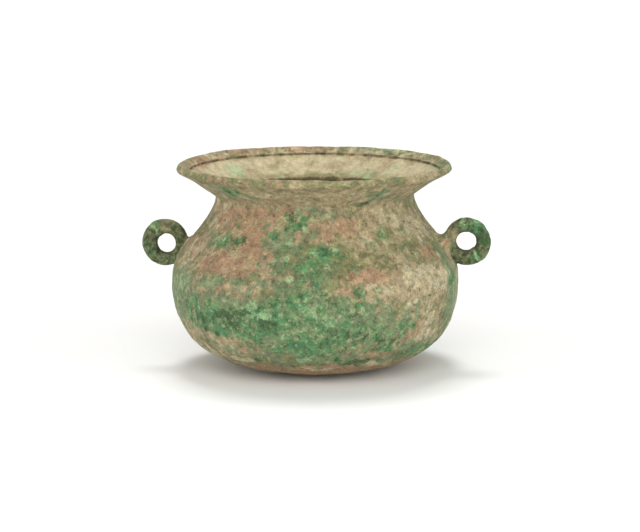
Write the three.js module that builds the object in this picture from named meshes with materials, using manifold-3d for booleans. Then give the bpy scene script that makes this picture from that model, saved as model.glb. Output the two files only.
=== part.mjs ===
// A cast bronze mou: a round-bottomed cooking pot with a low bulging belly, a sloping shoulder,
// a narrow neck, a wide flared mouth with a thickened band at the rim, and two plain ring ears
// that stand upright on the shoulder, opposite each other.
// Millimetres, +Z up, ears along X. The origin is the centre of the small worn flat that the pot
// rests on. The pot and its ears are one casting, so they are one hollow solid.

import * as THREE from "three";
import { mergeVertices } from "three/addons/utils/BufferGeometryUtils.js";
import Module from "manifold-3d";

const wasm = await Module();
wasm.setup();

// Worn flat under the pot
const FOOT_RADIUS = 29;
const FOOT_RISE_DEG = 4;

// Outside of the belly, shoulder and neck, each height counted from the one below it
const BELLY_RADIUS = 110;
const BELLY_HEIGHT = 70;
const SHOULDER_RADIUS = 97.2;
const SHOULDER_RISE = 27.3;
const SHOULDER_SLOPE_DEG = 55;
const NECK_RADIUS = 75.8;
const NECK_RISE = 35.9;
const NECK_FILLET = 2.5;

// Roundness of those stretches: how far each curve follows its end tangents
const BOTTOM_PULL = 55.5;
const BELLY_PULL = 46;
const HAUNCH_PULL = 14;
const SHOULDER_PULL = 11.5;

// Flared mouth and the band that thickens its rim
const FLARE_DEG = 35;
const MOUTH_RADIUS = 105.5;
const BAND_WIDTH = 10;
const BAND_STEP = 1.5;
const BAND_FACE_DEG = 39;
const LIP_UNDERSIDE_DEG = 28;
const LIP_UNDERSIDE_WIDTH = 7.5;
const LIP_CORNER = 3.5;
const LIP_CORNER_RISE = 2.3;
const LIP_FACE_HEIGHT = 4.7;
const LIP_BULGE_INSET = 0.7;
const LIP_FACE_LEAN = 2.4;

// Thickness of the metal
const WALL = 2.4;
const FLARE_WALL = 3.2;

// Ring ears, each placed from the middle of the shoulder's slope: how far its centre stands out
// from there, and how far above there it sits
const EAR_OUTER_RADIUS = 18;
const EAR_HOLE_RADIUS = 7.3;
const EAR_THICKNESS = 8.4;
const EAR_STANDOFF = 19.8;
const LEFT_EAR_RISE = -2.3;
const RIGHT_EAR_RISE = 0.7;

// Low pad of metal where each ear is cast onto the shoulder
const PAD_LENGTH = 22;
const PAD_WIDTH = 14;
const PAD_THICKNESS = 4.4;
const PAD_BELOW_EAR = 4;

// Fineness of the facets
const ROUND_STEPS = 64;
const RING_STEPS = 30;
const RING_SECTION_STEPS = 12;
const PAD_STEPS = 16;
const BOTTOM_STEPS = 9;
const HAUNCH_STEPS = 4;
const SHOULDER_STEPS = 5;
const FILLET_STEPS = 3;

// How far the tool that hollows the pot reaches out of the mouth
const CUT_PAST = 5;

const radians = THREE.MathUtils.degToRad;
const point = (radius, height) => new THREE.Vector2(radius, height);
const along = (degrees, length) => {
  const angle = radians(degrees);
  return point(Math.cos(angle) * length, Math.sin(angle) * length);
};

const shoulderHeight = BELLY_HEIGHT + SHOULDER_RISE;
const neckHeight = shoulderHeight + NECK_RISE;
const ears = [
  { side: -1, height: shoulderHeight + LEFT_EAR_RISE },
  { side: 1, height: shoulderHeight + RIGHT_EAR_RISE },
];

// Stretches of the outside from the edge of the worn flat up to the start of the flare,
// each with the wall that it starts and ends with.
function bodyStretches() {
  const foot = point(FOOT_RADIUS, 0);
  const belly = point(BELLY_RADIUS, BELLY_HEIGHT);
  const shoulder = point(SHOULDER_RADIUS, shoulderHeight);
  const neck = point(NECK_RADIUS, neckHeight);
  const upShoulder = 180 - SHOULDER_SLOPE_DEG;

  const bottom = new THREE.CubicBezierCurve(
    foot,
    foot.clone().add(along(FOOT_RISE_DEG, BOTTOM_PULL)),
    point(BELLY_RADIUS, BELLY_HEIGHT - BELLY_PULL),
    belly,
  );
  const haunch = new THREE.CubicBezierCurve(
    belly,
    point(BELLY_RADIUS, BELLY_HEIGHT + HAUNCH_PULL),
    shoulder.clone().sub(along(upShoulder, HAUNCH_PULL)),
    shoulder,
  );
  const slope = new THREE.CubicBezierCurve(
    shoulder,
    shoulder.clone().add(along(upShoulder, SHOULDER_PULL)),
    point(NECK_RADIUS, neckHeight - SHOULDER_PULL),
    neck,
  );
  const fillet = new THREE.ArcCurve(
    NECK_RADIUS + NECK_FILLET, neckHeight, NECK_FILLET, Math.PI, radians(90 + FLARE_DEG), true,
  );
  return [
    { curve: bottom, steps: BOTTOM_STEPS, wall: [WALL, WALL] },
    { curve: haunch, steps: HAUNCH_STEPS, wall: [WALL, WALL] },
    { curve: slope, steps: SHOULDER_STEPS, wall: [WALL, WALL] },
    { curve: fillet, steps: FILLET_STEPS, wall: [WALL, FLARE_WALL] },
  ];
}

// Points of the outside, and of the inside one wall away from them, from the flat up to the flare.
function bodyProfile() {
  const outside = [];
  const inside = [];
  for (const { curve, steps, wall } of bodyStretches()) {
    for (let i = outside.length ? 1 : 0; i <= steps; i++) {
      const share = i / steps;
      const place = curve.getPoint(share);
      const tangent = curve.getTangent(share);
      const inward = point(-tangent.y, tangent.x);
      outside.push(place);
      inside.push(place.clone().addScaledVector(inward, THREE.MathUtils.lerp(...wall, share)));
    }
  }
  return { outside, inside };
}

// Point at a radius on a straight line that rises at some degrees from a start.
function onLine(start, degrees, radius) {
  return point(radius, start.y + (radius - start.x) * Math.tan(radians(degrees)));
}

// Outside of the lip, from the end of the flare to the edge of its narrow flat top.
function lipOutside(flareStart) {
  const cornerRadius = MOUTH_RADIUS - LIP_CORNER;
  const underside = onLine(flareStart, FLARE_DEG, cornerRadius - LIP_UNDERSIDE_WIDTH);
  const corner = onLine(underside, LIP_UNDERSIDE_DEG, cornerRadius);
  const widest = point(MOUTH_RADIUS, corner.y + LIP_CORNER_RISE);
  const bulge = point(MOUTH_RADIUS - LIP_BULGE_INSET, widest.y + LIP_FACE_HEIGHT / 2);
  const top = point(MOUTH_RADIUS - LIP_FACE_LEAN, widest.y + LIP_FACE_HEIGHT);
  return [underside, corner, widest, bulge, top];
}

// Inside of the mouth: the flare, the step up onto the band, and the band's slanted face.
function lipInside(flareStart) {
  const bandRadius = MOUTH_RADIUS - BAND_WIDTH;
  const flareEnd = onLine(flareStart, FLARE_DEG, bandRadius);
  const bandFoot = point(bandRadius, flareEnd.y + BAND_STEP);
  const pastMouth = onLine(bandFoot, BAND_FACE_DEG, MOUTH_RADIUS + CUT_PAST);
  return [flareEnd, bandFoot, pastMouth];
}

// A turned form as a closed solid, from a profile that starts and ends on the axis.
function turned(profile) {
  const geometry = new THREE.LatheGeometry(profile, ROUND_STEPS);
  return solid(geometry.rotateX(Math.PI / 2));
}

// A closed geometry as a solid for joining and cutting.
function solid(geometry) {
  geometry.deleteAttribute("normal");
  geometry.deleteAttribute("uv");
  const merged = mergeVertices(geometry, 1e-4);
  const mesh = new wasm.Mesh({
    numProp: 3,
    vertProperties: new Float32Array(merged.attributes.position.array),
    triVerts: new Uint32Array(merged.index.array),
  });
  return new wasm.Manifold(mesh);
}

// A solid as a geometry for the scene graph.
function geometryOf(manifold) {
  const mesh = manifold.getMesh();
  const geometry = new THREE.BufferGeometry();
  geometry.setAttribute("position", new THREE.BufferAttribute(mesh.vertProperties, 3));
  geometry.setIndex(new THREE.BufferAttribute(mesh.triVerts, 1));
  geometry.computeVertexNormals();
  return geometry;
}

// One ring ear: a fat ring with an oval section, in the upright plane through the pot's axis.
function earRing({ side, height }) {
  const bar = (EAR_OUTER_RADIUS - EAR_HOLE_RADIUS) / 2;
  const middle = EAR_HOLE_RADIUS + bar;
  const ring = new THREE.TorusGeometry(middle, bar, RING_SECTION_STEPS, RING_STEPS);
  ring.scale(1, 1, EAR_THICKNESS / (2 * bar));
  ring.rotateX(Math.PI / 2);
  ring.translate(side * (SHOULDER_RADIUS + EAR_STANDOFF), 0, height);
  return solid(ring);
}

// The pad under an ear: a low oval swelling that lies along the slope of the shoulder.
function earPad({ side, height }) {
  const middle = height - PAD_BELOW_EAR;
  const inset = (middle - shoulderHeight) / Math.tan(radians(SHOULDER_SLOPE_DEG));
  const pad = new THREE.SphereGeometry(1, PAD_STEPS, PAD_STEPS / 2);
  pad.scale(PAD_LENGTH / 2, PAD_WIDTH / 2, PAD_THICKNESS / 2);
  pad.rotateY(side * radians(SHOULDER_SLOPE_DEG));
  pad.translate(side * (SHOULDER_RADIUS - inset), 0, middle);
  return solid(pad);
}

// The whole casting: the outer form with its ears, hollowed out to the true wall.
function vesselSolid() {
  const { outside, inside } = bodyProfile();
  const lip = lipOutside(outside.at(-1));
  const top = lip.at(-1).y;
  const cut = lipInside(inside.at(-1));

  const outer = turned([point(0, 0), ...outside, ...lip, point(0, top)]);
  const hollow = turned([point(0, WALL), ...inside, ...cut, point(0, cut.at(-1).y)]);
  let form = outer;
  for (const ear of ears) {
    form = form.add(earRing(ear)).add(earPad(ear));
  }
  return form.subtract(hollow);
}

const patinatedBronze = new THREE.MeshStandardMaterial({
  color: 0x8f9a74,
  roughness: 0.8,
  metalness: 0.15,
});

const vessel = new THREE.Mesh(geometryOf(vesselSolid()), patinatedBronze);
vessel.name = "vessel";

const mou = new THREE.Group();
mou.add(vessel);

export default mou;
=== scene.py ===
"""Dresses a cast bronze mou, a round-bottomed cooking pot, in its corroded patina.

The pot and its two ring ears are one hollow casting, so they become one mesh here, with the
uneven surface of the corrosion raised on it. Everything is in metres, +Z up, with the ring ears
along X and the side that the photograph shows towards -Y.
"""

from __future__ import annotations

import logging
import math
from dataclasses import dataclass, field
from enum import Enum

import bpy
import numpy as np
from mathutils import Euler, Matrix, Vector

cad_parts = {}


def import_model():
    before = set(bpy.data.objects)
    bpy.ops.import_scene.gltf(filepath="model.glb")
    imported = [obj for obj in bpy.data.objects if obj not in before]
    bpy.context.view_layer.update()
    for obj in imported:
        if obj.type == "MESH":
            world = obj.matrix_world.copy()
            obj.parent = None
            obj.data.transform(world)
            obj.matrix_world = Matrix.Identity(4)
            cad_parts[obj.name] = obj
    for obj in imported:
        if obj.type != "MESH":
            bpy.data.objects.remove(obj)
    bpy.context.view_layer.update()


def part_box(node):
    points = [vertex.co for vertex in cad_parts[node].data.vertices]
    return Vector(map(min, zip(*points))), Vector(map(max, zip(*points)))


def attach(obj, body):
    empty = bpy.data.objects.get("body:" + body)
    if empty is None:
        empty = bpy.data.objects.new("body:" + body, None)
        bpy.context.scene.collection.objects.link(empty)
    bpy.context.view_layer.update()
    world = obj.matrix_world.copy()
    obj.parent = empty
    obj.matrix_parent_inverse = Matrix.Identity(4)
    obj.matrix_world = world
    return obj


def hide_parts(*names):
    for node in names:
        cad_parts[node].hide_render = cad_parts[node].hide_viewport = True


LOG = logging.getLogger("mou")
MM = 0.001
POT_NODE = "vessel"
POT_BODY = "root"
CALM = "calm"
EAR = "ear"
# Weight on the mesh for painted shade: in the groove under the band, inside the pot, round the ear
# holes and in the corners above the ears.
PAINTED_SHADE = "painted_shade"
LONE_NOISE_SWING = 0.135
PATCH_LIFT = 4.4
CRUST_SILL = 2.8
PATCH_CORE = 0.35
PATCH_EDGE = 1.45
TURN_DRIFT = 22.0
HEIGHT_DRIFT = 6.0
SIZE_DRIFT = (0.8, 1.25)
STRENGTH_DRIFT = (0.8, 1.05)

Points = np.ndarray
Socket = bpy.types.NodeSocket
Value = Socket | float | tuple[float, ...]


def smooth_step(value: np.ndarray, low: float, high: float) -> np.ndarray:
    """Rise smoothly from 0 at one value to 1 at another.

    Args:
        value: The values to judge.
        low: Where the rise starts.
        high: Where the rise ends.

    Returns:
        One share from 0 to 1 for each value.
    """
    share = np.clip((value - low) / (high - low), 0.0, 1.0)
    return share * share * (3.0 - 2.0 * share)


class Tone(Enum):
    """Colours of the patina that lie in patches, each kept as a weight on the mesh."""

    VERDIGRIS = "verdigris"
    HAZE = "haze"
    DEEP = "deep"
    # Pinkish brown cuprite, and painted warm shade in one wide low band round the bottom.
    CUPRITE_AND_SHADE = "cuprite_and_shade"
    EARTH = "earth"
    OLIVE = "olive"
    MINT = "mint"
    TAN = "tan"


@dataclass(frozen=True)
class Patch:
    """A soft-edged oval of one tone on the pot.

    The turn is counted round the pot from its front, towards the right ear, in degrees. Heights
    and half heights are in millimetres.
    """

    turn: float
    height: float
    half_turn: float
    half_height: float
    strength: float

    def weight(self, turn: np.ndarray, height: np.ndarray) -> np.ndarray:
        """Weigh places by how near they are to the middle of the patch.

        Args:
            turn: Degrees round the pot from its front.
            height: Millimetres above what the pot stands on.

        Returns:
            The patch's weight at each place.
        """
        across = (turn - self.turn + 180.0) % 360.0 - 180.0
        reach = np.hypot(across / self.half_turn, (height - self.height) / self.half_height)
        return self.strength * (1.0 - smooth_step(reach, PATCH_CORE, PATCH_EDGE))

    def behind(self, random: np.random.Generator) -> Patch:
        """Make the like of this patch on the far side of the pot, moved a little at random.

        Args:
            random: The source of the random moves.

        Returns:
            The patch for the far side.
        """
        return Patch(
            180.0 - self.turn + random.uniform(-TURN_DRIFT, TURN_DRIFT),
            self.height + random.uniform(-HEIGHT_DRIFT, HEIGHT_DRIFT),
            self.half_turn * random.uniform(*SIZE_DRIFT),
            self.half_height * random.uniform(*SIZE_DRIFT),
            self.strength * random.uniform(*STRENGTH_DRIFT),
        )


def patches(*rows: tuple[float, ...]) -> tuple[Patch, ...]:
    """Make patches from rows of turn, height, half turn, half height and strength."""
    return tuple(Patch(*row) for row in rows)


@dataclass(frozen=True)
class PatinaMap:
    """Where the tones of the patina lie on the outside and on the inside of the pot."""

    seed: int = 11
    outside: dict[Tone, tuple[Patch, ...]] = field(
        default_factory=lambda: {
            Tone.VERDIGRIS: patches(
                (-32, 52, 24, 15, 0.95), (-15, 51, 13, 13, 1.0), (-48, 55, 11, 15, 0.75),
                (-58, 74, 6, 8, 0.6), (-5, 62, 13, 15, 0.8), (13, 54, 14, 15, 0.8),
                (31, 43, 16, 10, 0.8), (45, 43, 8, 9, 0.6), (8, 36, 20, 9, 0.9),
                (-14, 34, 11, 8, 0.6), (3, 26, 6, 6, 0.9), (-20, 20, 4, 3, 0.8),
                (26, 19, 9, 5, 0.9), (14, 24, 8, 5, 0.55), (52, 25, 7, 5, 0.75),
                (40, 31, 9, 4, 0.8), (-40, 81, 11, 4, 0.5), (4, 82, 10, 10, 0.66),
                (8, 97, 11, 12, 0.72), (12, 106, 4, 10, 0.72), (20, 101, 6, 5, 0.45),
                (-7, 100, 5, 10, 0.65), (-2, 125, 9, 8, 0.76), (14, 129, 7, 3, 0.6),
                (-14, 117, 10, 6, 0.72), (-47, 107, 9, 5, 0.85), (-31, 108, 6, 5, 0.85),
                (42, 112, 5, 5, 0.4), (-37, 145, 8, 5, 0.85), (34, 135, 6, 3, 0.75),
                (40, 146, 4, 6, 0.65), (2, 136, 3, 5, 0.5), (24, 71, 3.5, 9, 0.8),
                (12, 75, 4, 5, 0.7), (57, 67, 6, 1.8, 0.75), (80, 70, 8, 13, 0.7),
                (76, 22, 17, 9, 0.85), (88, 42, 7, 16, 0.5), (62, 23, 8, 6, 0.7),
                (-74, 50, 11, 13, 0.4), (-100, 62, 14, 18, 0.7), (103, 90, 10, 12, 0.5),
            ),
            Tone.HAZE: patches(
                (-18, 56, 46, 25, 0.95), (20, 50, 36, 19, 0.85), (-72, 60, 17, 24, 0.75),
                (2, 90, 20, 20, 0.6), (2, 120, 16, 14, 0.45), (-14, 112, 10, 12, 0.4),
                (-46, 108, 15, 7, 0.5), (-40, 80, 16, 6, 0.5), (98, 66, 8, 34, 1.0),
                (-58, 70, 10, 17, 0.75), (98, 154, 12, 8, 0.9), (60, 24, 28, 9, 0.7),
                (0, 27, 50, 10, 0.6), (-38, 143, 16, 6, 0.6), (38, 141, 14, 7, 0.5),
                (84, 148, 16, 9, 0.5), (46, 104, 16, 14, 0.2), (20, 130, 14, 6, 0.4),
                (-100, 60, 20, 28, 0.7),
            ),
            Tone.DEEP: patches(
                (-29, 53, 6, 9, 1.0), (-22, 59, 5, 2.5, 0.9), (-12, 52, 3.5, 5, 1.0),
                (-19, 21, 4, 3, 0.9), (13, 74, 4, 6, 0.7), (38, 59, 3, 2.5, 0.9),
                (-46, 50, 5, 6, 0.5), (12, 105, 3, 9, 0.3), (-2, 127, 6, 5, 0.4),
                (35, 135, 5, 3, 0.8), (57, 67, 6, 1.8, 0.8), (-30, 107, 4, 3, 0.6),
                (-5, 74, 6, 5, 0.45), (22, 41, 12, 5, 0.5), (53, 25, 4, 3, 0.8),
                (42, 24, 9, 3, 0.5), (-2, 20, 7, 3, 0.7), (24, 19, 7, 4, 0.9),
                (12, 23, 5, 3, 0.7), (-11, 26, 5, 3, 0.7), (38, 36, 6, 3, 0.7),
                (-42, 40, 6, 4, 0.6), (30, 62, 3, 9, 0.6), (-64, 45, 6, 9, 0.4),
                (-110, 60, 9, 12, 0.6),
            ),
            Tone.CUPRITE_AND_SHADE: patches(
                (-42, 127, 27, 7, 0.75), (-22, 130, 13, 3, 0.8), (-25, 112, 14, 11, 0.85),
                (-20, 100, 8, 9, 0.9), (-38, 95, 15, 7, 0.85), (-33, 88, 14, 6, 0.85),
                (-50, 118, 12, 8, 0.6), (8, 117, 14, 6, 0.85), (23, 120, 11, 8, 0.75),
                (0, 112, 8, 4, 0.6), (30, 85, 13, 6, 0.9), (20, 76, 9, 4, 0.6),
                (-30, 73, 12, 5, 0.75), (-28, 27, 17, 6, 0.75), (22, 28, 5, 4, 0.9),
                (36, 24, 8, 4, 0.8), (66, 97, 9, 6, 0.65), (-6, 86, 5, 4, 0.75),
                # The patch at turn 5 and height 11, with its copy behind, is painted warm shade
                # round the bottom, in the cuprite's pinkish brown.
                (-5, 40, 4, 4, 0.45), (38, 62, 9, 6, 0.5), (5, 11, 60, 7, 0.75),
                (-24, 155, 30, 3, 0.4), (60, 13, 17, 4, 0.5), (-60, 14, 17, 5, 0.5),
                (88, 99, 4, 5, 0.85), (-120, 95, 16, 12, 0.7), (118, 48, 14, 10, 0.6),
            ),
            Tone.EARTH: patches(
                (56, 82, 15, 10, 0.8), (70, 74, 9, 10, 0.75), (46, 67, 9, 9, 0.6),
                (58, 45, 7, 13, 0.75), (32, 76, 10, 5, 0.5), (62, 34, 8, 7, 0.6),
                (-62, 17, 17, 8, 0.9), (-40, 26, 11, 7, 0.7), (5, 143, 70, 6, 0.42),
                (-30, 19, 8, 3, 0.8), (8, 14, 10, 2.5, 0.7), (35, 17, 8, 3, 0.8),
                (-8, 30, 5, 3, 0.7), (8, 133.4, 12, 1.3, 0.7), (52, 122, 16, 12, 0.42),
                (66, 112, 14, 14, 0.45), (34, 108, 12, 10, 0.2), (-62, 124, 16, 14, 0.5),
                (-65, 94, 12, 12, 0.6), (-110, 35, 16, 10, 0.5), (112, 112, 14, 10, 0.35),
            ),
            Tone.MINT: patches(
                (2, 119, 2, 3, 0.9), (-5, 110, 2.5, 4, 0.7), (-6, 99, 2, 2.5, 0.95),
                (-3, 85, 2.2, 3, 0.95), (-49, 107, 4, 4, 0.6), (-60, 75, 3, 6, 0.8),
                (3, 23, 4, 3.5, 0.9), (-18, 65, 4, 3, 0.7), (-15, 58, 6, 4, 0.7),
                (-5, 42, 3, 3, 0.6), (6, 63, 5, 5, 0.6), (10, 53, 8, 6, 0.5),
                (32, 77, 4, 2.5, 0.6), (24, 61, 5, 4, 0.5), (13, 127, 5, 2, 0.6),
                (84, 60, 4, 20, 0.5), (-68, 62, 10, 14, 0.5), (76, 17, 12, 4, 0.6),
                (44, 109, 3, 3, 0.5),
            ),
            Tone.TAN: patches(
                (0, 142, 80, 8, 0.85), (50, 75, 16, 16, 0.5), (50, 126, 26, 9, 0.6),
                (-56, 126, 26, 7, 0.6), (60, 108, 14, 8, 0.35), (-60, 100, 12, 12, 0.3),
            ),
            Tone.OLIVE: patches(
                (64, 100, 14, 8, 0.4), (22, 94, 16, 12, 0.62), (6, 90, 13, 14, 0.75),
                (2, 104, 14, 8, 0.6), (0, 22, 70, 8, 0.6), (-6, 70, 10, 9, 0.5),
                (-70, 100, 13, 18, 0.35), (84, 144, 20, 8, 0.5), (-40, 144, 18, 9, 0.45),
                (0, 156.5, 400, 3, 0.25), (-30, 86, 12, 6, 0.6), (14, 62, 14, 16, 0.5),
                (-90, 152, 14, 3, 0.6), (70, 50, 12, 16, 0.35), (-95, 115, 16, 14, 0.45),
                (98, 128, 16, 12, 0.5),
            ),
        }
    )
    inside: dict[Tone, tuple[Patch, ...]] = field(
        default_factory=lambda: {
            Tone.VERDIGRIS: patches(
                (100, 156, 12, 3, 0.5), (-62, 60, 40, 25, 0.7), (130, 50, 40, 20, 0.6),
                (20, 118, 30, 10, 0.5),
            ),
            Tone.HAZE: patches(
                (98, 156, 10, 4, 0.8), (152, 157, 26, 3, 0.3), (150, 141, 20, 4, 0.4),
                (-60, 60, 60, 30, 0.7), (120, 60, 60, 30, 0.7),
            ),
            Tone.DEEP: patches((-60, 60, 30, 15, 0.5)),
            Tone.CUPRITE_AND_SHADE: patches(
                (-112, 149, 22, 6, 0.7), (132, 146, 20, 6, 0.45), (-168, 157, 14, 3, 0.5),
                (-140, 157, 12, 3, 0.55), (-112, 156, 16, 4, 0.55), (128, 156, 9, 3, 0.6),
                (30, 20, 50, 14, 0.5), (-20, 138, 25, 6, 0.4),
            ),
            Tone.EARTH: patches(
                (180, 146, 120, 10, 0.58), (-116, 146, 14, 8, 0.5), (122, 147, 16, 8, 0.5),
                (-158, 157, 12, 3, 0.5), (150, 157, 24, 3, 0.6), (-120, 157, 8, 3, 0.6),
                (0, 146, 100, 10, 0.8), (60, 80, 60, 30, 0.4),
            ),
            Tone.TAN: patches((180, 146, 120, 8, 0.6)),
            Tone.OLIVE: patches(
                (150, 157, 30, 3, 0.5), (178, 144, 34, 8, 0.5), (-146, 146, 10, 7, 0.4),
                (-160, 60, 60, 30, 0.6),
            ),
            Tone.MINT: patches(
                (-125, 144, 9, 6, 0.7), (-151, 138, 8, 3, 0.4), (158, 138, 14, 4, 0.5),
                (172, 149, 8, 3, 0.35), (104, 152, 10, 4, 0.5), (141, 144, 5, 6, 0.6),
                (148, 157, 22, 3, 0.4),
            ),
        }
    )

    def weights(self, tone: Tone, points: Points, inside: np.ndarray) -> np.ndarray:
        """Weigh one tone at every point of the pot.

        Args:
            tone: The tone to weigh.
            points: Places on the pot, in metres.
            inside: 1 where a place is on the inside of the pot and 0 where it is outside.

        Returns:
            The tone's weight at each place, from 0 to 1.
        """
        random = np.random.default_rng(self.seed + list(Tone).index(tone))
        front = self.outside[tone]
        around = front + tuple(patch.behind(random) for patch in front)
        turn = np.degrees(np.arctan2(points[:, 0], -points[:, 1]))
        height = points[:, 2] / MM
        shares = []
        for patches in (around, self.inside[tone]):
            bare = np.ones(len(points))
            for patch in patches:
                bare *= 1.0 - np.clip(patch.weight(turn, height), 0.0, 1.0)
            shares.append(1.0 - bare)
        return shares[0] * (1.0 - inside) + shares[1] * inside


@dataclass(frozen=True)
class Cloud:
    """A cloudy pattern: its shift in metres, how wide its blotches are and how they break up.

    The detail is the number of finer layers, the harshness how strong each one is next to the
    one above it, and the warp how far the pattern is twisted.
    """

    shift: tuple[float, float, float]
    grain: float
    detail: float = 4.0
    harshness: float = 0.5
    warp: float = 0.0


@dataclass(frozen=True)
class Coat:
    """A colour laid over another: where a pattern's value starts and ends its rise, and how far.

    A coat without a cloud of its own goes by the value of another coat's pattern.
    """

    shade: tuple
    start: float
    full: float
    share: float = 1.0
    cloud: Cloud | None = None


class Wiring:
    """Adds nodes to a shader tree or a geometry tree and joins them."""

    def __init__(self, tree: bpy.types.NodeTree) -> None:
        """Work on one node tree."""
        self.tree = tree

    def add(self, kind: str, inputs: dict | None = None, **settings: object) -> bpy.types.Node:
        """Add one node.

        Args:
            kind: The node's type name.
            inputs: Sockets or values, by the name or the number of the input that takes them.
            **settings: The node's own properties.

        Returns:
            The new node.
        """
        node = self.tree.nodes.new(kind)
        for name, value in settings.items():
            setattr(node, name, value)
        for name, value in (inputs or {}).items():
            if isinstance(value, Socket):
                self.tree.links.new(value, node.inputs[name])
            else:
                node.inputs[name].default_value = value
        return node

    def math(self, operation: str, first: Value, second: Value = 0.0) -> Socket:
        """Work out one sum of two numbers."""
        return self.add("ShaderNodeMath", {0: first, 1: second}, operation=operation).outputs[0]

    def plus(self, *values: Value) -> Socket:
        """Add several numbers up.

        Args:
            values: The numbers or the sockets that give them.

        Returns:
            Their sum.
        """
        total = values[0]
        for value in values[1:]:
            total = self.math("ADD", total, value)
        return total

    def times(self, first: Value, second: Value) -> Socket:
        """Multiply two numbers."""
        return self.math("MULTIPLY", first, second)

    def step(self, value: Value, low: float, high: float) -> Socket:
        """Rise smoothly from 0 to 1 between two values.

        Args:
            value: The value to judge.
            low: Where the rise starts.
            high: Where it ends.

        Returns:
            The share from 0 to 1.
        """
        inputs = {"Value": value, "From Min": low, "From Max": high}
        node = self.add("ShaderNodeMapRange", inputs, interpolation_type="SMOOTHSTEP")
        return node.outputs["Result"]

    def between(self, value: Value, low: float, high: float) -> Socket:
        """Stretch a share from 0 to 1 over the span between two values."""
        node = self.add("ShaderNodeMapRange", {"Value": value, "To Min": low, "To Max": high})
        return node.outputs["Result"]

    def clouds(self, place: Socket, cloud: Cloud) -> Socket:
        """Make a cloudy pattern that swings about 0, mostly between -1 and 1.

        Args:
            place: Where to read it, in metres.
            cloud: The pattern's shift, grain and roughness.

        Returns:
            The pattern's value.
        """
        inputs = {
            "Vector": self.moved(place, cloud.shift),
            "Scale": 1.0 / cloud.grain,
            "Detail": cloud.detail,
            "Roughness": cloud.harshness,
            "Distortion": cloud.warp,
        }
        noise = self.add("ShaderNodeTexNoise", inputs).outputs[0]
        layers = cloud.harshness ** np.arange(int(cloud.detail) + 1)
        usual = LONE_NOISE_SWING * np.linalg.norm(layers) / layers.sum()
        return self.scaled(noise, 1.0 / usual, -0.5 / usual)

    def scaled(self, value: Value, by: Value, plus: Value) -> Socket:
        """Multiply a number and add to it."""
        node = self.add("ShaderNodeMath", {0: value, 1: by, 2: plus}, operation="MULTIPLY_ADD")
        return node.outputs[0]

    def moved(self, place: Socket, by: tuple) -> Socket:
        """Shift a place, so that one pattern differs from another."""
        node = self.add("ShaderNodeVectorMath", {0: place, 1: by}, operation="ADD")
        return node.outputs[0]

    def mix(self, share: Value, under: Value, over: Value) -> Socket:
        """Lay one colour over another."""
        node = self.add("ShaderNodeMix", {0: share, 6: under, 7: over}, data_type="RGBA")
        return node.outputs[2]


def crust_field(wiring: Wiring, place: Socket, verdigris: Socket, cloud: Cloud) -> Socket:
    """Say where the green crust lies, the same for its relief and for its colour.

    Args:
        wiring: The tree to work in.
        place: The place on the pot, in metres.
        verdigris: The weight of the green patches there.
        cloud: The pattern that makes the crust's edge ragged.

    Returns:
        A value that passes 0 where the crust begins and grows towards its middle.
    """
    ragged = wiring.clouds(place, cloud)
    return wiring.plus(wiring.scaled(verdigris, PATCH_LIFT, -CRUST_SILL), ragged)


def colour(red: int, green: int, blue: int) -> tuple[float, float, float, float]:
    """Turn a colour as it shows on a screen, 0 to 255, into light values for a shader.

    Args:
        red: How much red shows.
        green: How much green shows.
        blue: How much blue shows.

    Returns:
        The light values and full opacity.
    """
    shown = np.array([red, green, blue]) / 255.0
    linear = np.where(shown <= 0.04045, shown / 12.92, ((shown + 0.055) / 1.055) ** 2.4)
    return (*(float(value) for value in linear), 1.0)


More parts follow.
